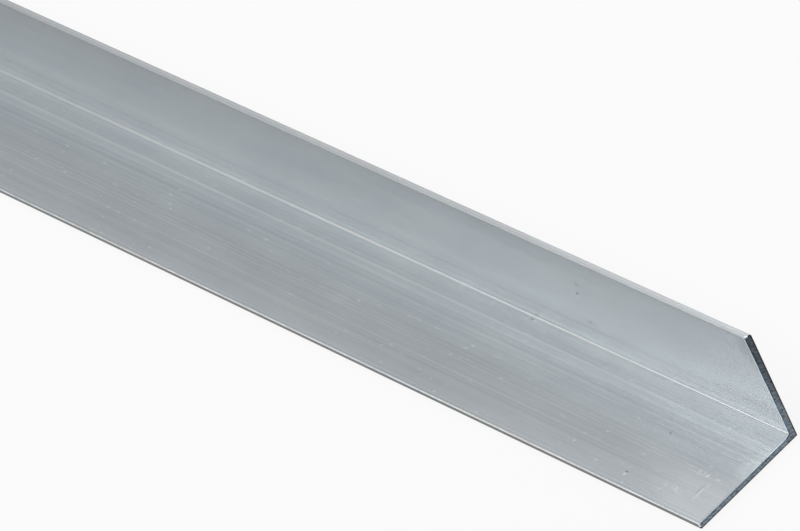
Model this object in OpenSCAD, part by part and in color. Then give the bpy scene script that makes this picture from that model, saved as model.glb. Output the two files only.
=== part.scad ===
// Equal-leg angle section: one straight length of extruded aluminium stock.
// The lower leg lies flat, with its underside at z = 0, and the upright leg stands along its back edge.
// The bar runs along x. The origin is under the middle of the bar, halfway across the lower leg.
// All sizes are in millimetres.

/* [Stock] */
// Length of the bar, from one sawn end to the other
bar_length = 914.4; // [100:0.1:6000]
// Width of the lower leg, over the outside of the section
lower_leg_w = 31.75; // [12:0.25:100]
// Width of the upright leg, over the outside of the section
upright_leg_w = 31.75; // [12:0.25:100]
// Wall thickness of both legs
wall = 1.6; // [1:0.1:5]

/* [Edges] */
// Radius of the fillet in the inside corner
root_r = 0.4; // [0.1:0.1:3]
// Radius on the outside corner, where the two legs meet
heel_r = 0.2; // [0.1:0.05:0.9]
// Radius on the inner edge of each leg's tip
tip_inner_r = 0.25; // [0.1:0.05:0.45]
// Radius on the outer edge of each leg's tip
tip_outer_r = 0.2; // [0.1:0.05:0.45]

/* [Hidden] */
// Segments in a full circle of each rounded edge
$fn = 64;
// How far an edge's cut or fill runs past the faces that it meets
overlap = 0.05;
// Mill finish: a cool light grey
mill_grey = "#b4bbc0";

// The sliver between a square corner at the origin and the arc of radius r that rounds it.
// Cut away it eases an outside corner, and added it fills an inside one.
module corner_sliver(r) {
    difference() {
        translate([-overlap, -overlap]) square(r + overlap);
        translate([r, r]) circle(r);
    }
}

// One leg of the section, along x from the outside corner, with both edges of its tip eased
module leg(width) {
    difference() {
        square([width, wall]);
        translate([width, 0]) mirror([1, 0]) corner_sliver(tip_outer_r);
        translate([width, wall]) rotate(180) corner_sliver(tip_inner_r);
    }
}

// The whole cross-section, with its outside corner at the origin and its legs along x and y
module section_profile() {
    difference() {
        union() {
            leg(lower_leg_w);
            mirror([1, -1]) leg(upright_leg_w);
            translate([wall, wall]) corner_sliver(root_r);
        }
        corner_sliver(heel_r);
    }
}

// The bar: the section drawn out along its length, with both ends sawn square
module angle_section() {
    color(mill_grey)
    translate([0, lower_leg_w / 2, 0])
    rotate([90, 0, -90])
    linear_extrude(height = bar_length, center = true)
    section_profile();
}

angle_section();
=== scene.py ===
import math

import bpy
from mathutils import Matrix, Vector, noise


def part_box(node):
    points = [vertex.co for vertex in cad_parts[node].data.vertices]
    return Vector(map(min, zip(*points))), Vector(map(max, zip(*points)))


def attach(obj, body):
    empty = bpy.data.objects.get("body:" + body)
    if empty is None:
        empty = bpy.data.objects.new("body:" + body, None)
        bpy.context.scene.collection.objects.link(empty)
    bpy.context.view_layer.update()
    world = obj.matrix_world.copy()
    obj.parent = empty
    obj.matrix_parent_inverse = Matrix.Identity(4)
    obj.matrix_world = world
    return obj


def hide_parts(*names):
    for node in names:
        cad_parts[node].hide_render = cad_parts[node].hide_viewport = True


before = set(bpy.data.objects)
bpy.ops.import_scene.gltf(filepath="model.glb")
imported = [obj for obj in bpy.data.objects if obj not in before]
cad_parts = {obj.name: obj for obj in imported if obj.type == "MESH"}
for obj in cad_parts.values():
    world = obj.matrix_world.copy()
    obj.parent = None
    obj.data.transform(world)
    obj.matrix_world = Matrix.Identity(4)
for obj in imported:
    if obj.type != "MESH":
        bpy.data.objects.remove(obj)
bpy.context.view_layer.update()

# One bar of mill-finish aluminium angle, lying on its lower leg.
# Lengths are in millimetres and become metres where they reach the model.
# A place on the section is given by its distance from the heel, the outside corner,
# and a place along the bar by its distance from the near sawn end.

MM = 0.001
NODE = "angle_section"
BODY = "root"

# The section, as in the solid
WALL = 1.6
ROOT_R = 0.4
HEEL_R = 0.2
TIP_INNER_R = 0.25
TIP_OUTER_R = 0.2
BAR_LOW, BAR_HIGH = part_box(NODE)
BAR_LENGTH = (BAR_HIGH[0] - BAR_LOW[0]) / MM
LEG = (BAR_HIGH[2] - BAR_LOW[2]) / MM
BEND = WALL + ROOT_R

# How finely the bar is drawn: steps round each arc, the step along a flat, steps across the wall,
# and how many times the section is drawn between the two ends
ARC_STEPS = 6
FLAT_STEP = 0.34
ACROSS_WALL = 8
MIDDLE_RINGS = 79
# The corners of the section that are sharper than this, in degrees, keep a hard edge
SHARP_FROM = 32.0

# Lines that the die drew along the inside of the lower leg, and painted shade lines among them:
# distance from the heel, half width, height, and how much lighter or darker they are.
# Real ones are as fine as 0.05 mm. The finest here are 0.5 mm wide over all, as fine as shows.
LOWER_DIE_AND_SHADE_LINES = [
    # Painted shade along the foot of the fillet in the inside corner, not a die line
    (2.25, 0.35, 0.000, -0.110),
    (3.60, 0.45, 0.001, 0.020),
    (5.10, 0.35, 0.000, -0.025),
    (6.10, 0.35, -0.002, -0.050),
    (6.85, 0.40, 0.004, 0.095),
    (8.75, 0.45, 0.002, 0.062),
    (9.50, 0.35, -0.002, -0.045),
    (10.75, 0.50, -0.002, -0.050),
    (11.55, 0.35, 0.001, 0.030),
    (13.40, 0.40, 0.000, -0.026),
    (15.00, 0.50, 0.001, 0.030),
    (16.20, 0.35, 0.000, 0.020),
    (17.80, 0.40, 0.000, -0.022),
    (18.70, 0.25, -0.001, -0.036),
    (19.20, 0.25, 0.001, 0.036),
    (20.10, 0.30, 0.001, 0.040),
    (20.75, 0.30, -0.001, -0.042),
    (22.65, 0.35, -0.001, -0.036),
    (23.45, 0.35, 0.002, 0.060),
    (24.10, 0.30, -0.001, -0.034),
    (25.00, 0.30, 0.000, -0.032),
    (26.25, 0.35, 0.001, 0.036),
    (27.70, 0.40, -0.001, -0.036),
    (29.30, 0.35, 0.000, 0.028),
    (30.70, 0.40, 0.002, 0.070),
    (31.30, 0.26, 0.000, -0.130),
]
# The same on the inside of the upright leg, which ran smoother through the die
UPRIGHT_DIE_AND_SHADE_LINES = [
    (4.60, 0.90, 0.000, -0.012),
    (7.60, 0.90, -0.002, -0.045),
    (11.30, 0.90, 0.002, 0.020),
    (15.80, 0.80, 0.000, -0.008),
    (23.30, 0.60, 0.000, -0.016),
    (25.20, 0.90, 0.000, 0.012),
    (30.20, 0.40, 0.000, -0.025),
    # Painted shade just under the inner edge of the tip, not a die line
    (31.25, 0.32, 0.000, -0.150),
]
# The same across the top of the upright leg, by distance from its outside
TOP_DIE_AND_SHADE_LINES = [
    # Painted shade that dulls the rounded outside edge, not a die line
    (0.04, 0.32, 0.000, -0.450),
    (0.62, 0.22, 0.000, 0.060),
    (1.08, 0.20, 0.000, -0.130),
]

# How light each face is at distances from the heel. The upright's starts with painted shade on the foot of
# the fillet in the inside corner and a painted highlight on its shoulder, and it darkens towards its tip as
# painted shade. The top darkens at its inner edge as painted shade.
LOWER_TONES = [(2.0, 0.96), (5.0, 0.96), (8.0, 0.98), (12.0, 0.915), (18.0, 0.90), (25.0, 0.885),
               (31.0, 0.93)]
UPRIGHT_TONES = [(1.6, 0.70), (1.8, 0.96), (2.3, 1.10), (3.1, 1.08), (4.8, 0.97), (10.0, 0.97), (16.0, 0.96),
                 (23.0, 0.91), (28.0, 0.85), (31.5, 0.80)]
TIP_TONES = [(0.0, 0.96), (1.25, 1.00), (1.46, 0.76), (WALL, 0.46)]
OUTSIDE_TONES = [(0.0, 0.84), (16.0, 0.86), (31.5, 0.83)]

# Marks of handling, painted shade and painted highlights: distance along the bar, distance from the heel,
# half length, half width, turn in degrees, how much lighter or darker, and depth
LOWER_MARKS = [
    # Broad patches and a long line where the skin is brighter or duller
    (0.0, 13.5, 6.0, 7.0, 0.0, 0.140, 0.0),
    (0.0, 6.0, 3.5, 5.0, 0.0, 0.045, 0.0),
    (6.0, 26.0, 20.0, 8.0, 0.0, 0.090, 0.0),
    (46.0, 22.5, 24.0, 6.0, 0.0, -0.060, 0.0),
    (170.0, 7.5, 60.0, 3.5, 0.0, -0.045, 0.0),
    (210.0, 6.95, 130.0, 0.45, 0.0, 0.045, 0.0),
    # A row of rubs behind the cut
    (5.8, 19.7, 1.1, 0.50, 0.0, 0.160, 0.0),
    (9.0, 19.8, 0.7, 0.65, 40.0, 0.280, 0.0),
    (10.2, 19.5, 0.5, 0.42, 0.0, 0.220, 0.0),
    (11.8, 19.5, 0.6, 0.42, 0.0, 0.280, 0.0),
    (15.0, 19.4, 2.8, 0.30, 0.0, 0.110, 0.0),
    (12.0, 20.3, 5.5, 0.34, 0.0, 0.090, 0.0),
    # A scratch across the leg, with painted shade on its dark side
    (7.0, 25.1, 2.6, 0.30, 90.0, 0.400, 0.0),
    (6.6, 22.0, 1.2, 0.28, 90.0, 0.160, 0.0),
    (7.75, 23.8, 2.3, 0.32, 90.0, -0.150, 0.0),
    # A chip of bright metal and the spots and rubs round it
    (13.2, 26.1, 0.50, 0.80, 20.0, 0.520, 0.0),
    (12.6, 26.8, 0.5, 0.40, 0.0, 0.150, 0.0),
    (14.2, 26.4, 0.4, 0.35, 0.0, 0.120, 0.0),
    (16.4, 26.3, 0.5, 0.35, 0.0, 0.140, 0.0),
    (17.0, 25.6, 0.5, 0.30, 0.0, 0.110, 0.0),
    (16.4, 27.4, 0.4, 0.30, 0.0, 0.120, 0.0),
    (17.5, 29.6, 4.0, 0.35, -5.0, -0.060, 0.0),
    (22.0, 24.0, 2.6, 0.35, 0.0, 0.060, 0.0),
    (27.0, 19.3, 6.0, 0.22, 0.0, 0.050, 0.0),
    # A pit darkened with painted shade, with its bright rim, and a slanting nick darkened with painted shade
    (28.2, 27.6, 0.42, 0.34, 0.0, -0.620, -0.020),
    (28.1, 28.4, 0.70, 0.50, 0.0, 0.520, 0.0),
    (26.7, 30.5, 0.60, 0.30, 0.0, 0.280, 0.0),
    (27.3, 14.0, 0.65, 0.30, -45.0, -0.480, -0.010),
    (26.6, 15.3, 0.60, 0.18, -45.0, -0.120, 0.0),
    # Spots, nicks and short scratches further along
    (31.3, 15.0, 0.40, 0.28, 0.0, 0.140, 0.0),
    (28.6, 26.2, 0.8, 0.45, 0.0, 0.070, 0.0),
    (31.0, 26.0, 0.6, 0.70, 0.0, 0.080, 0.0),
    (35.6, 23.0, 0.40, 0.28, 0.0, 0.170, 0.0),
    (36.4, 10.2, 0.40, 0.26, 0.0, 0.130, 0.0),
    (37.8, 10.3, 0.50, 0.26, 20.0, 0.180, 0.0),
    (37.9, 9.6, 0.45, 0.22, 30.0, -0.110, 0.0),
    (37.9, 13.9, 0.60, 0.32, 0.0, 0.360, 0.0),
    (41.9, 20.5, 0.40, 0.32, 0.0, 0.300, 0.0),
    (50.0, 28.4, 0.50, 0.60, 0.0, 0.110, 0.0),
    (56.2, 21.6, 0.50, 0.35, -20.0, 0.210, 0.0),
    (68.7, 18.4, 0.45, 0.30, 30.0, 0.110, 0.0),
    (90.0, 11.2, 0.75, 0.28, 90.0, 0.170, 0.004),
    (87.5, 8.0, 1.8, 0.26, 0.0, 0.080, 0.0),
    # A nick darkened with painted shade
    (86.4, 2.4, 0.60, 0.42, 0.0, -0.380, -0.004),
    (85.0, 2.6, 0.60, 0.42, 0.0, 0.300, 0.0),
    (91.6, 19.2, 0.50, 0.30, 0.0, 0.270, 0.0),
    (93.6, 19.5, 0.60, 0.50, 0.0, 0.110, 0.0),
    (90.1, 27.7, 0.50, 0.35, 0.0, 0.170, 0.0),
    (95.6, 27.6, 0.50, 0.35, 20.0, 0.190, 0.0),
    (98.9, 27.6, 0.9, 0.30, -20.0, 0.170, 0.0),
    (100.3, 26.8, 0.8, 0.28, -20.0, 0.170, 0.0),
    (99.6, 27.3, 1.4, 0.22, -20.0, -0.120, 0.0),
    (111.5, 29.5, 0.60, 0.50, 0.0, 0.150, 0.0),
    (126.2, 16.2, 0.55, 0.40, 0.0, 0.230, 0.0),
    (138.0, 18.8, 4.0, 2.4, 0.0, 0.040, 0.0),
    (204.0, 16.7, 9.0, 5.0, -14.0, 0.045, 0.0),
    (239.0, 8.0, 1.1, 0.24, 84.0, 0.120, 0.004),
    (242.0, 8.4, 0.8, 0.22, 84.0, 0.100, 0.004),
]
UPRIGHT_MARKS = [
    # A painted highlight along the inside corner further along, and broad patches
    (230.0, 1.75, 200.0, 0.45, 0.0, 0.300, 0.0),
    (0.0, 7.5, 24.0, 6.5, 0.0, -0.090, 0.0),
    (0.0, 27.0, 6.0, 7.5, 0.0, -0.140, 0.0),
    (95.0, 23.0, 45.0, 7.5, 0.0, 0.060, 0.0),
    # Three nicks one over the other, darkened with painted shade, and faint ones by the corner
    (61.0, 22.8, 0.58, 0.52, 35.0, -0.580, -0.008),
    (62.4, 19.4, 0.62, 0.56, 35.0, -0.700, -0.012),
    (62.7, 10.1, 0.66, 0.50, 30.0, -0.500, -0.006),
    (34.8, 9.3, 0.60, 0.35, 30.0, -0.090, 0.0),
    (36.8, 6.9, 0.50, 0.28, 25.0, -0.120, 0.0),
    (71.2, 5.8, 1.1, 0.45, 25.0, -0.080, 0.0),
    (81.6, 5.2, 0.5, 0.30, 25.0, -0.080, 0.0),
    (87.2, 5.4, 0.6, 0.30, 25.0, -0.080, 0.0),
]
# Long faint scratches of the rack, and one duller patch
OUTSIDE_MARKS = [
    (118.0, 21.0, 16.0, 0.16, 4.0, 0.070, -0.004),
    (250.0, 9.0, 9.0, 0.14, -7.0, 0.060, -0.004),
    (402.0, 25.0, 30.0, 2.2, 2.0, -0.040, 0.0),
    (610.0, 14.0, 22.0, 0.18, -3.0, 0.060, -0.004),
    (770.0, 19.0, 12.0, 0.15, 9.0, 0.060, -0.004),
]

# Grain of the drawn skin: length along the bar, width, share of tone, height.
# The real grain is finer than a tenth of a millimetre. It is drawn three times as coarse or more, to show.
LOWER_GRAIN = [
    (900.0, 0.34, 0.040, 0.0008),
    (300.0, 1.20, 0.012, 0.0008),
    (40.0, 0.34, 0.026, 0.0),
    (16.0, 5.00, 0.020, 0.0),
]
UPRIGHT_GRAIN = [
    (90.0, 0.60, 0.010, 0.0006),
    (20.0, 7.00, 0.006, 0.0),
]
TIP_GRAIN = [
    (30.0, 0.30, 0.030, 0.0006),
]
OUTSIDE_GRAIN = [
    (90.0, 0.50, 0.022, 0.0012),
    (140.0, 2.00, 0.018, 0.0010),
    (12.0, 6.00, 0.012, 0.0),
]
# Specks left by grit in the die: spacing along the bar and across it, the share of that spacing
# which a speck fills, and how much lighter or darker the strongest are
LOWER_SPECKS = (3.4, 2.2, 0.20, 0.25)
UPRIGHT_SPECKS = (14.0, 9.0, 0.05, 0.10)
TIP_SPECKS = (2.0, 0.9, 0.34, 0.12)
# Roughness of the skin, from its cooler clouds to its warmer ones
SKIN_ROUGHNESS = (0.23, 0.26)
TIP_ROUGHNESS = (0.31, 0.34)
# How much the drawn skin spreads a highlight across its lines more than along them
DRAWN_SPREAD = 0.2

# The oxide's clouds, a little bluer in places: their length along the bar and width
CLOUD_LENGTH = 40.0
CLOUD_WIDTH = 8.0

# The sawn ends: how much the edge is broken on the outside of the section, and bevelled on the inside
EDGE_BREAK = 0.08
INNER_BEVEL = 0.09
# The bevel filed on the inner half of each leg's tip: its length along the bar, its depth, and the shares
# of the wall at which it starts and is at its full depth. The outer half is only broken, by TIP_BREAK.
TIP_BEVEL = 0.50
TIP_BEVEL_DEPTH = 0.40
TIP_BEVEL_FROM = 0.45
TIP_BEVEL_FULL = 0.75
TIP_BREAK = 0.20
# The burr behind the inner bevel: its height, and how far along the bar it reaches
BURR_HEIGHT = 0.015
BURR_REACH = 0.45
# How the deburring blade wavered: its coarse and fine waves to the millimetre, the share of the fine ones,
# how much the bevel and the burr vary with them, and the share of the burr that the blade left at its mean
BLADE_COARSE = 1.1
BLADE_FINE = 3.7
FINE_SHARE = 0.5
BEVEL_VARIES = 0.6
BURR_VARIES = 0.8
BURR_LEFT = 0.6
# How far the cut leans back across the wall: on the lower leg, at the upright's foot and at its tip,
# and how far along the bar the metal is drawn back with it
LOWER_LEAN = 0.05
FOOT_LEAN = 0.55
TIP_LEAN = 0.82
LEAN_REACH = 2.5
# The chatter of the saw: its height, and its waves to the millimetre straight across and on the skew
SAW_CHATTER = 0.03
CHATTER_WAVES = 2.1
CHATTER_SKEW = 0.5
# The saw's strokes: length, width, and turn in degrees out of the level
STROKE_LENGTH = 1.1
STROKE_WIDTH = 0.33
STROKE_TURN = -27.0

# The floor: half its width in metres, how far it lies under the bar, and how much of its tone is plain white
# to the camera
FLOOR_HALF = 30.0
FLOOR_DROP = 0.02
FLOOR_WHITE = 0.85
# How bright the room is, where 1 would be white
ROOM_LIGHT = 0.38

# The view of the photo: the camera's angles in degrees and its distance, the point on the floor that it
# looks at, by its distance from the near end and across the bar, and the lens
VIEW_AZIMUTH = 63.772
VIEW_ELEVATION = 37.975
VIEW_ROLL = 26.476
VIEW_DISTANCE = 1801.0
VIEW_FROM_END = 133.27
VIEW_ACROSS = 12.54
SENSOR_WIDTH = 36.0
LENS = 348.12


def srgb(hex_colour):
    """A hex colour as linear red, green, blue and alpha."""
    values = [int(hex_colour[i:i + 2], 16) / 255 for i in (1, 3, 5)]
    return [v / 12.92 if v <= 0.04045 else ((v + 0.055) / 1.055) ** 2.4 for v in values] + [1.0]


def arc(centre, radius, start_deg, end_deg, steps):
    """Points along an arc in the plane of the section."""
    angles = [math.radians(start_deg + (end_deg - start_deg) * i / steps) for i in range(steps + 1)]
    return [(centre[0] + radius * math.cos(a), centre[1] + radius * math.sin(a)) for a in angles]


def flat_places():
    """Places along a leg's flat, from its tip down to the bend, with one on the crest of each die line and
    painted shade line.
    """
    start, end = LEG - TIP_INNER_R, BEND
    count = round((start - end) / FLAT_STEP)
    places = [start + (end - start) * i / count for i in range(count + 1)]
    for crest, *_ in LOWER_DIE_AND_SHADE_LINES + UPRIGHT_DIE_AND_SHADE_LINES:
        nearest = min(range(1, count), key=lambda i: abs(places[i] - crest))
        places[nearest] = crest
    return places


def section_paths():
    """The section's outside and inside, point against point, from the lower leg's tip to the upright's.

    Each point is (out, up, face, place): its distances from the heel along both legs, the face it is on,
    and how far along that face it lies.
    """
    inner_flat = flat_places()
    stretch = (LEG - TIP_OUTER_R - BEND) / (LEG - TIP_INNER_R - BEND)
    outer_flat = [BEND + (p - BEND) * stretch for p in inner_flat]
    side = [BEND + (HEEL_R - BEND) * i / ARC_STEPS for i in range(1, ARC_STEPS)]
    tip_o = LEG - TIP_OUTER_R
    tip_i = LEG - TIP_INNER_R

    outer = [(*p, "toe", LEG) for p in arc((tip_o, TIP_OUTER_R), TIP_OUTER_R, 0, -90, ARC_STEPS)[:-1]]
    outer += [(p, 0.0, "lower_outer", p) for p in outer_flat + side]
    outer += [(*p, "heel", 0.0) for p in arc((HEEL_R, HEEL_R), HEEL_R, -90, -180, ARC_STEPS)]
    outer += [(0.0, p, "upright_outer", p) for p in reversed(outer_flat + side)]
    outer += [(*p, "top", LEG) for p in arc((TIP_OUTER_R, tip_o), TIP_OUTER_R, 180, 90, ARC_STEPS)[1:]]

    root_steps = 2 * len(side) + ARC_STEPS + 2
    inner = [(*p, "toe", LEG) for p in arc((tip_i, WALL - TIP_INNER_R), TIP_INNER_R, 0, 90, ARC_STEPS)[:-1]]
    inner += [(p, WALL, "lower_inner", p) for p in inner_flat]
    inner += [(*p, "root", 0.0) for p in arc((BEND, BEND), ROOT_R, -90, -180, root_steps)[1:-1]]
    inner += [(WALL, p, "upright_inner", p) for p in reversed(inner_flat)]
    inner += [(*p, "top", LEG) for p in arc((WALL - TIP_INNER_R, tip_i), TIP_INNER_R, 0, 90, ARC_STEPS)[1:]]
    return outer, inner


def between(a, b, share):
    """A point part of the way across the wall, on the face of a tip."""
    return (a[0] + (b[0] - a[0]) * share, a[1] + (b[1] - a[1]) * share, a[2], LEG)


def outline(outer, inner):
    """The closed outline of the section, with each point's direction out of the metal."""
    shares = [k / ACROSS_WALL for k in range(1, ACROSS_WALL)]
    loop = outer + [between(outer[-1], inner[-1], s) for s in shares]
    loop += list(reversed(inner)) + [between(inner[0], outer[0], s) for s in shares]
    points = []
    for i, point in enumerate(loop):
        before, after = loop[i - 1], loop[(i + 1) % len(loop)]
        along = Vector((after[0] - before[0], after[1] - before[1])).normalized()
        points.append((*point, -along.y, along.x))
    return points


def die_relief(lines, place):
    """Height of the die lines at a place: a smooth ridge or hollow for each."""
    height = 0.0
    for crest, half_width, top, _ in lines:
        away = abs(place - crest) / half_width
        if away < 1:
            height += top * (0.5 + 0.5 * math.cos(math.pi * away))
    return height


def unsteady(x, y, seed):
    """A smooth random number from about -1 to 1, with a grain of about 1. Each seed gives another pattern."""
    return noise.noise(Vector((x + 17.3 * seed, y - 5.1 * seed, 2.7 * seed)))


def from_end(station):
    """Distance from the nearer sawn end, and a number for that end."""
    return (station, 1) if station < BAR_LENGTH / 2 else (BAR_LENGTH - station, 2)


def across_wall(out, up):
    """How far across the wall a point lies: 0 on the outside of the section and 1 on the inside."""
    return min(out, up, WALL) / WALL


def lift(out, up, face, place, station):
    """How far the real surface stands off the drawn section, out of the metal."""
    to_end, end_seed = from_end(station)
    height = 0.0
    if face == "lower_inner":
        height += die_relief(LOWER_DIE_AND_SHADE_LINES, place)
    if face == "upright_inner":
        height += die_relief(UPRIGHT_DIE_AND_SHADE_LINES, place)
    if face.endswith("inner") or face == "root":
        coarse = unsteady(out * BLADE_COARSE, up * BLADE_COARSE, end_seed)
        fine = unsteady(out * BLADE_FINE, up * BLADE_FINE, end_seed)
        ragged = coarse + FINE_SHARE * fine
        bevel = INNER_BEVEL * (1.0 + BEVEL_VARIES * ragged)
        burr = BURR_HEIGHT * max(0.0, BURR_LEFT + BURR_VARIES * ragged)
        height += burr * max(0.0, 1 - to_end / BURR_REACH)
        return height - max(0.0, bevel - to_end)
    if face in ("top", "toe"):
        filed = (across_wall(out, up) - TIP_BEVEL_FROM) / (TIP_BEVEL_FULL - TIP_BEVEL_FROM)
        bevel = TIP_BEVEL_DEPTH * min(1.0, max(0.0, filed)) * max(0.0, 1 - to_end / TIP_BEVEL)
        return -max(bevel, TIP_BREAK - to_end)
    return -max(0.0, EDGE_BREAK - to_end)


def lean(out, up, station):
    """How far the cut leans back across the wall from square: most at the inner edge of the upright's tip."""
    to_end, _ = from_end(station)
    foot = max(0.0, 1 - max(0.0, out - WALL) / WALL)
    height = max(0.0, up - WALL) / (LEG - WALL)
    most = LOWER_LEAN + (FOOT_LEAN - LOWER_LEAN) * foot + (TIP_LEAN - FOOT_LEAN) * height ** 2
    return most * across_wall(out, up) * max(0.0, 1 - to_end / LEAN_REACH)


def ring_stations():
    """Distances from the near sawn end at which the section is drawn, close together at both ends."""
    at_end = [0.0, EDGE_BREAK, INNER_BEVEL, 0.14, TIP_BREAK, 0.30, TIP_BEVEL, 0.70]
    at_end += [1.0 + i for i in range(12)]
    near = at_end + [15.0 + 3.0 * i for i in range(14)]
    far = [BAR_LENGTH - d for d in reversed(at_end)]
    steps = MIDDLE_RINGS + 1
    middle = [near[-1] + (far[0] - near[-1]) * i / steps for i in range(1, steps)]
    return near + middle + far


# The finishes of the bar, in the order of its materials
FINISHES = ["lower_inner", "upright_inner", "top", "toe", "outside", "sawn", "burnished"]


def finish_of(out, up, face, to_end):
    """The finish of a strip of the section, by its place and face and how near it is to a sawn end."""
    if face in ("lower_outer", "upright_outer", "heel"):
        return "sawn" if to_end <= EDGE_BREAK else "outside"
    if face in ("top", "toe"):
        if across_wall(out, up) > TIP_BEVEL_FROM:
            return "burnished" if to_end <= TIP_BEVEL else face
        return "sawn" if to_end <= TIP_BREAK else face
    if to_end <= INNER_BEVEL:
        return "burnished"
    return "upright_inner" if face == "root" else face


def sweep_bar():
    """The bar as one closed mesh: the section drawn along its length, with a gridded face at each end."""
    outer, inner = section_paths()
    ring = outline(outer, inner)
    stations = ring_stations()
    verts, faces, finish, flow = [], [], [], []
    girth = [0.0]
    for a, b in zip(ring, ring[1:] + ring[:1]):
        girth.append(girth[-1] + math.dist(a[:2], b[:2]))
    for station in stations:
        inwards = 1 if station < BAR_LENGTH / 2 else -1
        for out, up, face, place, away_out, away_up in ring:
            height = lift(out, up, face, place, station)
            across = LEG / 2 - out - away_out * height
            along = station + inwards * lean(out, up, station)
            verts.append(Vector((BAR_LENGTH / 2 - along, across, up + away_up * height)) * MM)
    count = len(ring)
    for r in range(len(stations) - 1):
        to_end = max(from_end(stations[r])[0], from_end(stations[r + 1])[0])
        for i in range(count):
            j = (i + 1) % count
            faces.append((r * count + i, r * count + j, (r + 1) * count + j, (r + 1) * count + i))
            out, up, face = ring[j][:3] if ring[i][2] == "root" else ring[i][:3]
            face = finish_of(out, up, face, to_end)
            finish.append(FINISHES.index(face))
            start, end = (0.0, 0.0) if face == "sawn" else (stations[r], stations[r + 1])
            flow.append([(start, girth[i]), (start, girth[i + 1]), (end, girth[i + 1]), (end, girth[i])])
    for start, inwards, seed in ((0, -1, 1), ((len(stations) - 1) * count, 1, 2)):
        add_end_face(verts, faces, flow, finish, outer, start, inwards, seed)
    mesh = bpy.data.meshes.new("extruded_bar")
    mesh.from_pydata(verts, [], faces)
    mesh.polygons.foreach_set("material_index", finish)
    mesh.polygons.foreach_set("use_smooth", [True] * len(faces))
    layer = mesh.uv_layers.new(name="along_and_round")
    layer.data.foreach_set("uv", [v * MM for face in flow for corner in face for v in corner])
    mesh.validate()
    bar = bpy.data.objects.new("extruded_bar", mesh)
    bpy.context.collection.objects.link(bar)
    return bar


def add_end_face(verts, faces, flow, finish, outer, start, inwards, seed):
    """Closes one end with a grid across the wall, chattered by the saw.

    Its flow is the distance in from the outside of the wall, and the distance along the section.
    """
    count = len(outer)
    tip_first = start + count
    inner_first = tip_first + ACROSS_WALL - 1
    toe_first = inner_first + count

    def ring_vertex(i, k):
        if k == 0:
            return start + i
        if k == ACROSS_WALL:
            return inner_first + count - 1 - i
        if i == count - 1:
            return tip_first + k - 1
        return toe_first + ACROSS_WALL - 1 - k

    grid = {}
    for i in range(count):
        for k in range(ACROSS_WALL + 1):
            if k in (0, ACROSS_WALL) or i in (0, count - 1):
                grid[i, k] = ring_vertex(i, k)
                continue
            a, b = verts[ring_vertex(i, 0)], verts[ring_vertex(i, ACROSS_WALL)]
            place = a.lerp(b, k / ACROSS_WALL)
            y, z = place.y / MM, place.z / MM
            wave = unsteady(y * CHATTER_WAVES + z * CHATTER_SKEW,
                            z * CHATTER_WAVES - y * CHATTER_SKEW, seed + 4)
            place.x += inwards * SAW_CHATTER * (0.5 + 0.5 * wave) * MM
            grid[i, k] = len(verts)
            verts.append(place)
    run = [0.0]
    for a, b in zip(outer, outer[1:]):
        run.append(run[-1] + math.dist(a[:2], b[:2]))
    for i in range(count - 1):
        for k in range(ACROSS_WALL):
            corners = ((i, k), (i + 1, k), (i + 1, k + 1), (i, k + 1))
            faces.append([grid[c] for c in corners])
            flow.append([(WALL * c[1] / ACROSS_WALL, run[c[0]]) for c in corners])
            finish.append(FINISHES.index("sawn"))


def add_node(tree, kind, inputs=(), **settings):
    """Adds a node, with its settings by name and a value or another node's output for each named input."""
    made = tree.nodes.new(kind)
    for name, value in settings.items():
        setattr(made, name, value)
    for key, value in dict(inputs).items():
        if isinstance(value, bpy.types.NodeSocket):
            tree.links.new(value, made.inputs[key])
        else:
            made.inputs[key].default_value = value
    return made


def new_material(name):
    """An empty node material and its tree."""
    material = bpy.data.materials.new(name)
    material.use_nodes = True
    material.node_tree.nodes.clear()
    return material, material.node_tree


def set_stops(ramp, stops):
    """Gives a colour ramp its stops, from (position, colour) pairs."""
    elements = ramp.color_ramp.elements
    while len(elements) < len(stops):
        elements.new(0.5)
    for element, (position, colour) in zip(elements, stops):
        element.position = position
        element.color = colour


def places_on_bar(tree, reach):
    """The distance across a face from the heel, and a vector of the distances along the bar and across it.

    reach says how the distance across is measured: out along the lower leg, up the upright leg,
    or round the outside of both.
    """
    place = add_node(tree, "ShaderNodeTexCoord").outputs["Object"]
    mm = add_node(tree, "ShaderNodeVectorMath", {0: place, "Scale": 1 / MM}, operation="SCALE").outputs[0]
    axes = add_node(tree, "ShaderNodeSeparateXYZ", {0: mm}).outputs
    along = add_node(tree, "ShaderNodeMath", {0: BAR_LENGTH / 2, 1: axes["X"]},
                     operation="SUBTRACT").outputs[0]
    out = add_node(tree, "ShaderNodeMath", {0: LEG / 2, 1: axes["Y"]}, operation="SUBTRACT").outputs[0]
    both = add_node(tree, "ShaderNodeMath", {0: out, 1: axes["Z"]}, operation="ADD").outputs[0]
    across = {"out": out, "up": axes["Z"], "round": both}[reach]
    flat = add_node(tree, "ShaderNodeCombineXYZ", {0: along, 1: across, 2: 0.0}).outputs[0]
    return across, flat


def in_cells(tree, flat, length, width):
    """The place on a face counted in cells of a length along the bar and a width across it."""
    return add_node(tree, "ShaderNodeVectorMath", {0: flat, 1: (1 / length, 1 / width, 1.0)},
                    operation="MULTIPLY").outputs[0]


def face_tone(tree, across, tones):
    """How light a face is at each distance from the heel."""
    share = add_node(tree, "ShaderNodeMath", {0: across, 1: LEG}, operation="DIVIDE").outputs[0]
    ramp = add_node(tree, "ShaderNodeValToRGB", {0: share})
    ramp.color_ramp.interpolation = "EASE"
    set_stops(ramp, [(at / LEG, (level, level, level, 1.0)) for at, level in tones])
    return ramp.outputs[0]


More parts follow.
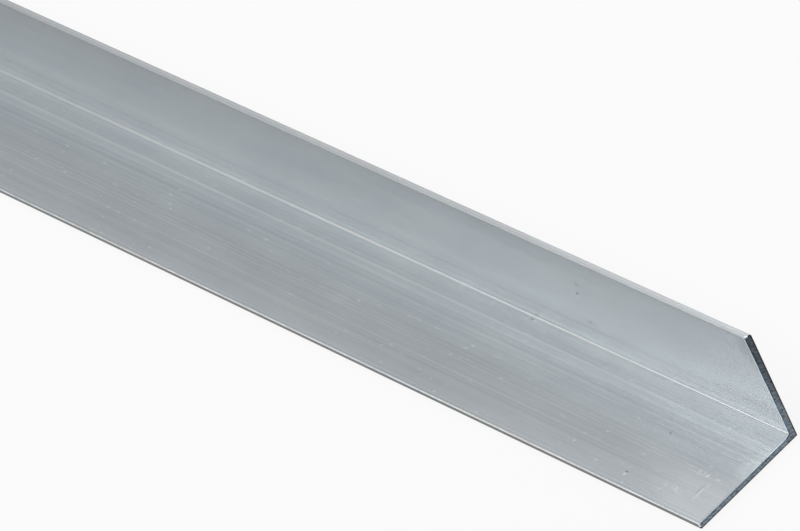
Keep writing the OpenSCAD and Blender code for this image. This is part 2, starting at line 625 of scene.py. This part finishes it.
def draw_grain(tree, flat, grain, tone, height):
    """Adds the drawn grain to the tone and the height of a face."""
    for length, width, strength, top in grain:
        drawn = add_node(tree, "ShaderNodeTexNoise", {"Vector": in_cells(tree, flat, length, width),
                                                      "Scale": 1.0, "Detail": 2.0}).outputs[0]
        change = add_node(tree, "ShaderNodeMapRange", {
            0: drawn, "From Min": 0.3, "From Max": 0.7, "To Min": -strength, "To Max": strength}, clamp=False)
        tone = add_node(tree, "ShaderNodeMath", {0: tone, 1: change.outputs[0]}, operation="ADD").outputs[0]
        if top:
            height = add_node(tree, "ShaderNodeMath", {0: drawn, 1: top, 2: height},
                              operation="MULTIPLY_ADD").outputs[0]
    return tone, height


def draw_die_and_shade_lines(tree, across, lines, tone):
    """Adds the lighter and darker lines of the die, and the painted shade lines among them, to the tone of a
    face.
    """
    for crest, half_width, _, change in lines:
        away = add_node(tree, "ShaderNodeMath", {0: across, 1: crest}, operation="SUBTRACT").outputs[0]
        away = add_node(tree, "ShaderNodeMath", {0: away}, operation="ABSOLUTE").outputs[0]
        line = add_node(tree, "ShaderNodeMapRange", {0: away, "From Max": half_width, "To Min": change,
                                                     "To Max": 0.0}, interpolation_type="SMOOTHSTEP")
        tone = add_node(tree, "ShaderNodeMath", {0: tone, 1: line.outputs[0]}, operation="ADD").outputs[0]
    return tone


def make_marks(tree, flat, marks, tone, height):
    """Adds the marks of handling, with painted shade and painted highlights among them, to the tone and the
    height of a face: ovals that fade towards their rims.
    """
    for start, at, half_length, half_width, turn, change, depth in marks:
        local = add_node(tree, "ShaderNodeMapping", {
            "Vector": flat, "Location": (start, at, 0.0), "Rotation": (0.0, 0.0, math.radians(turn)),
            "Scale": (half_length, half_width, 1.0)}, vector_type="TEXTURE").outputs[0]
        away = add_node(tree, "ShaderNodeVectorMath", {0: local}, operation="LENGTH").outputs["Value"]
        inside = add_node(tree, "ShaderNodeMapRange", {
            0: away, "From Min": 0.25, "From Max": 1.0, "To Min": 1.0, "To Max": 0.0},
            interpolation_type="SMOOTHSTEP").outputs[0]
        tone = add_node(tree, "ShaderNodeMath", {0: inside, 1: change, 2: tone},
                        operation="MULTIPLY_ADD").outputs[0]
        if depth:
            height = add_node(tree, "ShaderNodeMath", {0: inside, 1: depth, 2: height},
                              operation="MULTIPLY_ADD").outputs[0]
    return tone, height


def strew_specks(tree, flat, specks, tone):
    """Adds the specks of grit to the tone of a face, most of them lighter and some a little darker."""
    length, width, filled, strongest = specks
    cell = add_node(tree, "ShaderNodeTexVoronoi", {"Vector": in_cells(tree, flat, length, width),
                                                   "Scale": 1.0}).outputs
    speck = add_node(tree, "ShaderNodeMapRange", {
        0: cell["Distance"], "From Min": filled * 0.4, "From Max": filled, "To Min": 1.0, "To Max": 0.0},
        interpolation_type="SMOOTHSTEP")
    shade = add_node(tree, "ShaderNodeMapRange", {0: cell["Color"], "To Min": -0.3 * strongest,
                                                  "To Max": strongest})
    return add_node(tree, "ShaderNodeMath", {0: speck.outputs[0], 1: shade.outputs[0], 2: tone},
                    operation="MULTIPLY_ADD").outputs[0]


def mill_finish(name, reach, tones, lines, marks, grain, specks, roughness, cool, warm):
    """Aluminium as it leaves the extrusion die: a satin skin with fine lines along the bar.

    It mirrors the room softly and pulls each highlight out across its lines. The thin oxide over it
    gives it a faint blue, in clouds from the cool tint to the warm one.
    """
    material, tree = new_material(name)
    across, flat = places_on_bar(tree, reach)
    tone = face_tone(tree, across, tones)
    tone, height = draw_grain(tree, flat, grain, tone, 0.0)
    tone = draw_die_and_shade_lines(tree, across, lines, tone)
    tone, height = make_marks(tree, flat, marks, tone, height)
    tone = strew_specks(tree, flat, specks, tone)
    clouds = add_node(tree, "ShaderNodeTexNoise", {"Vector": in_cells(tree, flat, CLOUD_LENGTH, CLOUD_WIDTH),
                                                   "Scale": 1.0, "Detail": 1.0}).outputs[0]
    tint = add_node(tree, "ShaderNodeMix", {"Factor": clouds, "A": srgb(cool), "B": srgb(warm)},
                    data_type="RGBA").outputs[2]
    colour = add_node(tree, "ShaderNodeVectorMath", {0: tint, "Scale": tone}, operation="SCALE").outputs[0]
    rough = add_node(tree, "ShaderNodeMapRange", {0: clouds, "From Min": 0.3, "From Max": 0.7,
                                                  "To Min": roughness[0], "To Max": roughness[1]}).outputs[0]
    bump = add_node(tree, "ShaderNodeBump", {"Height": height, "Strength": 1.0, "Distance": MM})
    tangent = add_node(tree, "ShaderNodeTangent", direction_type="UV_MAP", uv_map="along_and_round")
    surface = add_node(tree, "ShaderNodeBsdfPrincipled", {
        "Base Color": colour, "Metallic": 1.0, "Roughness": rough, "Anisotropic": DRAWN_SPREAD,
        "Anisotropic Rotation": 0.25, "Tangent": tangent.outputs[0], "Normal": bump.outputs[0]})
    add_node(tree, "ShaderNodeOutputMaterial", {"Surface": surface.outputs[0]})
    return material


def sawn_aluminium_painted_shade():
    """A sawn end, torn and chattered by the teeth, coloured much darker than the skin as painted shade.

    It is darkest along the outside, a painted shadow line, bluest along the inside,
    and it darkens up the upright leg as painted shade.
    """
    material, tree = new_material("sawn_aluminium_painted_shade")
    place = add_node(tree, "ShaderNodeTexCoord").outputs["Object"]
    mm = add_node(tree, "ShaderNodeVectorMath", {0: place, "Scale": 1 / MM}, operation="SCALE").outputs[0]
    stroke = add_node(tree, "ShaderNodeMapping", {
        "Vector": mm, "Rotation": (math.radians(STROKE_TURN), 0.0, 0.0),
        "Scale": (1.0, STROKE_LENGTH, STROKE_WIDTH)}, vector_type="TEXTURE").outputs[0]
    torn = add_node(tree, "ShaderNodeTexNoise", {"Vector": stroke, "Scale": 1.0, "Detail": 2.0,
                                                 "Roughness": 0.6}).outputs[0]
    flow = add_node(tree, "ShaderNodeUVMap", uv_map="along_and_round").outputs[0]
    depth = add_node(tree, "ShaderNodeSeparateXYZ", {0: flow}).outputs["X"]
    share = add_node(tree, "ShaderNodeMath", {0: depth, 1: WALL * MM}, operation="DIVIDE").outputs[0]
    across = add_node(tree, "ShaderNodeValToRGB", {0: share})
    # Painted shade: the whole end is coloured dark, near black along the outside as a painted shadow line
    set_stops(across, [(0.0, srgb("#2e2c2b")), (0.08, srgb("#383a3c")), (0.18, srgb("#6d7378")),
                       (0.30, srgb("#7a8289")), (0.76, srgb("#778189")), (0.87, srgb("#4c687e")),
                       (1.0, srgb("#587890"))])
    up = add_node(tree, "ShaderNodeSeparateXYZ", {0: mm}).outputs["Z"]
    # Painted shade, darker up the upright leg
    fade = add_node(tree, "ShaderNodeMapRange", {0: up, "From Max": 0.8 * LEG, "To Min": 1.04,
                                                 "To Max": 0.44}, interpolation_type="SMOOTHSTEP")
    bite = add_node(tree, "ShaderNodeMapRange", {0: torn, "From Min": 0.3, "From Max": 0.7,
                                                 "To Min": 0.35, "To Max": 1.7}, clamp=False)
    level = add_node(tree, "ShaderNodeMath", {0: fade.outputs[0], 1: bite.outputs[0]}, operation="MULTIPLY")
    colour = add_node(tree, "ShaderNodeVectorMath", {0: across.outputs[0], "Scale": level.outputs[0]},
                      operation="SCALE")
    bump = add_node(tree, "ShaderNodeBump", {"Height": torn, "Strength": 1.0, "Distance": 0.04 * MM})
    surface = add_node(tree, "ShaderNodeBsdfPrincipled", {
        "Base Color": colour.outputs[0], "Metallic": 1.0, "Roughness": 0.5, "Normal": bump.outputs[0]})
    add_node(tree, "ShaderNodeOutputMaterial", {"Surface": surface.outputs[0]})
    return material


def burnished_edge():
    """The deburred edge of a cut: a blade scraped it, so it is the brightest metal on the bar."""
    material, tree = new_material("deburred_aluminium_edge")
    place = add_node(tree, "ShaderNodeTexCoord").outputs["Object"]
    mm = add_node(tree, "ShaderNodeVectorMath", {0: place, "Scale": 1 / MM}, operation="SCALE").outputs[0]
    scraped = add_node(tree, "ShaderNodeTexNoise", {"Vector": mm, "Scale": 1.6, "Detail": 2.0}).outputs[0]
    tone = add_node(tree, "ShaderNodeMix", {"Factor": scraped, "A": srgb("#c4d0d9"), "B": srgb("#e9eff3")},
                    data_type="RGBA")
    bump = add_node(tree, "ShaderNodeBump", {"Height": scraped, "Strength": 1.0, "Distance": 0.01 * MM})
    surface = add_node(tree, "ShaderNodeBsdfPrincipled", {
        "Base Color": tone.outputs[2], "Metallic": 1.0, "Roughness": 0.35, "Normal": bump.outputs[0]})
    add_node(tree, "ShaderNodeOutputMaterial", {"Surface": surface.outputs[0]})
    return material


def toe_with_painted_shade_and_highlight():
    """The lower leg's tip, darkened with painted shade.

    It is a dull dark grey of painted shade up to its inner edge, which carries a painted highlight that reads
    as a thin white line.
    """
    material, tree = new_material("toe_painted_shade_and_highlight")
    place = add_node(tree, "ShaderNodeTexCoord").outputs["Object"]
    mm = add_node(tree, "ShaderNodeVectorMath", {0: place, "Scale": 1 / MM}, operation="SCALE").outputs[0]
    drawn_at = add_node(tree, "ShaderNodeVectorMath", {0: mm, 1: (0.25, 2.5, 2.5)},
                        operation="MULTIPLY").outputs[0]
    toe_streaks = add_node(tree, "ShaderNodeTexNoise", {"Vector": drawn_at, "Scale": 1.0,
                                                   "Detail": 2.0}).outputs[0]
    up = add_node(tree, "ShaderNodeSeparateXYZ", {0: mm}).outputs["Z"]
    share = add_node(tree, "ShaderNodeMath", {0: up, 1: WALL}, operation="DIVIDE").outputs[0]
    across = add_node(tree, "ShaderNodeValToRGB", {0: share})
    # Painted shade up to 0.70 of the wall, and a painted highlight on the inner edge from 0.81
    set_stops(across, [(0.0, srgb("#4a4c4d")), (0.22, srgb("#686a6a")), (0.70, srgb("#6e7071")),
                       (0.81, srgb("#a3a8ac")), (0.89, srgb("#f4f7f9")), (0.96, srgb("#f4f7f9")),
                       (1.0, srgb("#a8aeb2"))])
    bite = add_node(tree, "ShaderNodeMapRange", {0: toe_streaks, "From Min": 0.3, "From Max": 0.7,
                                                 "To Min": 0.82, "To Max": 1.12}, clamp=False)
    colour = add_node(tree, "ShaderNodeVectorMath", {0: across.outputs[0], "Scale": bite.outputs[0]},
                      operation="SCALE")
    bump = add_node(tree, "ShaderNodeBump", {"Height": toe_streaks, "Strength": 1.0, "Distance": 0.004 * MM})
    surface = add_node(tree, "ShaderNodeBsdfPrincipled", {
        "Base Color": colour.outputs[0], "Metallic": 1.0, "Roughness": 0.32, "Normal": bump.outputs[0]})
    add_node(tree, "ShaderNodeOutputMaterial", {"Surface": surface.outputs[0]})
    return material


def bar_finishes():
    """The materials of the bar, one for each name in FINISHES and in that order."""
    return [
        mill_finish("mill_finish_lower_inside", "out", LOWER_TONES, LOWER_DIE_AND_SHADE_LINES, LOWER_MARKS,
                    LOWER_GRAIN, LOWER_SPECKS, SKIN_ROUGHNESS, "#ebf2fa", "#edf4f7"),
        mill_finish("mill_finish_upright_inside", "up", UPRIGHT_TONES, UPRIGHT_DIE_AND_SHADE_LINES, UPRIGHT_MARKS,
                    UPRIGHT_GRAIN, UPRIGHT_SPECKS, SKIN_ROUGHNESS, "#eff3f6", "#f0f4f4"),
        mill_finish("mill_finish_upright_tip", "out", TIP_TONES, TOP_DIE_AND_SHADE_LINES, [],
                    TIP_GRAIN, TIP_SPECKS, TIP_ROUGHNESS, "#eef4f8", "#f0f4f5"),
        toe_with_painted_shade_and_highlight(),
        mill_finish("mill_finish_outside", "round", OUTSIDE_TONES, [], OUTSIDE_MARKS,
                    OUTSIDE_GRAIN, LOWER_SPECKS, SKIN_ROUGHNESS, "#eaf1f8", "#eef3f5"),
        sawn_aluminium_painted_shade(),
        burnished_edge(),
    ]


def pale_floor():
    """A plain matt floor. Camera, glossy and transmission rays see it nearly white, with its shadow kept."""
    mesh = bpy.data.meshes.new("floor")
    corners = [(x * FLOOR_HALF, y * FLOOR_HALF, 0.0) for x, y in ((-1, -1), (1, -1), (1, 1), (-1, 1))]
    mesh.from_pydata(corners, [], [(0, 1, 2, 3)])
    floor = bpy.data.objects.new("floor", mesh)
    floor.location.z = -FLOOR_DROP * MM
    bpy.context.collection.objects.link(floor)
    material, tree = new_material("matt_white_card")
    card = add_node(tree, "ShaderNodeBsdfDiffuse", {"Color": srgb("#ebebeb")}).outputs[0]
    white = add_node(tree, "ShaderNodeEmission", {"Color": srgb("#ffffff"), "Strength": 1.0}).outputs[0]
    ray = add_node(tree, "ShaderNodeLightPath").outputs
    seen = add_node(tree, "ShaderNodeMath", {0: ray["Is Camera Ray"], 1: ray["Is Glossy Ray"]},
                    operation="MAXIMUM").outputs[0]
    seen = add_node(tree, "ShaderNodeMath", {0: seen, 1: ray["Is Transmission Ray"]},
                    operation="MAXIMUM").outputs[0]
    share = add_node(tree, "ShaderNodeMath", {0: seen, 1: FLOOR_WHITE}, operation="MULTIPLY").outputs[0]
    surface = add_node(tree, "ShaderNodeMixShader", {0: share, 1: card, 2: white}).outputs[0]
    add_node(tree, "ShaderNodeOutputMaterial", {"Surface": surface})
    mesh.materials.append(material)


def softbox(name, place, aim, width, depth, brightness):
    """A softbox at a place, turned towards a point, in metres. A face of brightness 1 would show as white."""
    data = bpy.data.lights.new(name, "AREA")
    data.shape = "RECTANGLE"
    data.size, data.size_y = width, depth
    data.energy = math.pi * width * depth * brightness
    lamp = bpy.data.objects.new(name, data)
    lamp.location = place
    lamp.rotation_mode = "QUATERNION"
    lamp.rotation_quaternion = (Vector(aim) - Vector(place)).to_track_quat("-Z", "Y")
    lamp.visible_camera = False
    bpy.context.collection.objects.link(lamp)


def around(azimuth, elevation, distance):
    """A place around the bar, in metres, from angles in degrees."""
    a, e = math.radians(azimuth), math.radians(elevation)
    out = distance * math.cos(e)
    return (out * math.cos(a), out * math.sin(a), distance * math.sin(e))


def light_the_studio():
    """A dim pale room and softboxes, and three cards close over the bar, so that it fades along its length.

    The card over the far half is wide and dim, so that the bar mirrors it softly from above.
    """
    world = bpy.data.worlds.new("pale_room")
    world.use_nodes = True
    room = world.node_tree.nodes["Background"].inputs
    room["Color"].default_value = (1.0, 1.0, 1.0, 1.0)
    room["Strength"].default_value = ROOM_LIGHT
    bpy.context.scene.world = world
    near_half = (0.3, 0.0, 0.0)
    softbox("heel_side_softbox", around(110, 18, 2.6), near_half, 2.2, 1.4, 2.2)
    softbox("overhead_softbox", around(-90, 68, 2.4), near_half, 1.6, 1.6, 2.1)
    softbox("end_softbox", around(-26, 36.5, 2.8), near_half, 1.2, 1.2, 2.2)
    # Draws the bright lines along the inside corner and the edges of the tips
    softbox("low_toe_side_softbox", around(-114, 13, 2.5), near_half, 1.2, 1.2, 1.3)
    # Lights the scraped bevel of the near cut
    softbox("arris_softbox", around(30, 45, 2.4), near_half, 0.6, 0.6, 1.6)
    softbox("far_card", (-0.38, 0.0, 0.8), (-0.38, 0.0, 0.0), 0.72, 0.6, 0.38)
    softbox("toe_side_card", (-0.03, -0.47, 0.8), (-0.03, -0.47, 0.0), 0.4, 0.4, 1.95)
    softbox("heel_side_card", (0.11, 0.26, 0.45), (0.11, 0.26, 0.0), 0.22, 0.22, 0.45)


def photo_camera():
    """The camera at the photo's angle, rolled as the photo is."""
    azimuth, elevation, roll = (math.radians(a) for a in (VIEW_AZIMUTH, VIEW_ELEVATION, VIEW_ROLL))
    forward = Vector((-math.sin(azimuth) * math.cos(elevation), math.cos(azimuth) * math.cos(elevation),
                      -math.sin(elevation)))
    level = Vector((math.cos(azimuth), math.sin(azimuth), 0.0))
    upright = level.cross(forward)
    right = level * math.cos(roll) - upright * math.sin(roll)
    up = level * math.sin(roll) + upright * math.cos(roll)
    target = Vector((BAR_LENGTH / 2 - VIEW_FROM_END, VIEW_ACROSS, 0.0)) * MM
    data = bpy.data.cameras.new("photo_camera")
    data.sensor_width, data.lens = SENSOR_WIDTH, LENS
    camera = bpy.data.objects.new("photo_camera", data)
    turn = Matrix((right, up, -forward)).transposed()
    camera.matrix_world = Matrix.Translation(target - forward * VIEW_DISTANCE * MM) @ turn.to_4x4()
    bpy.context.collection.objects.link(camera)
    bpy.context.scene.camera = camera


bar = sweep_bar()
for material in bar_finishes():
    bar.data.materials.append(material)
bar.data.set_sharp_from_angle(angle=math.radians(SHARP_FROM))
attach(bar, BODY)
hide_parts(NODE)
pale_floor()
light_the_studio()
photo_camera()
bpy.context.scene.view_settings.view_transform = "Standard"
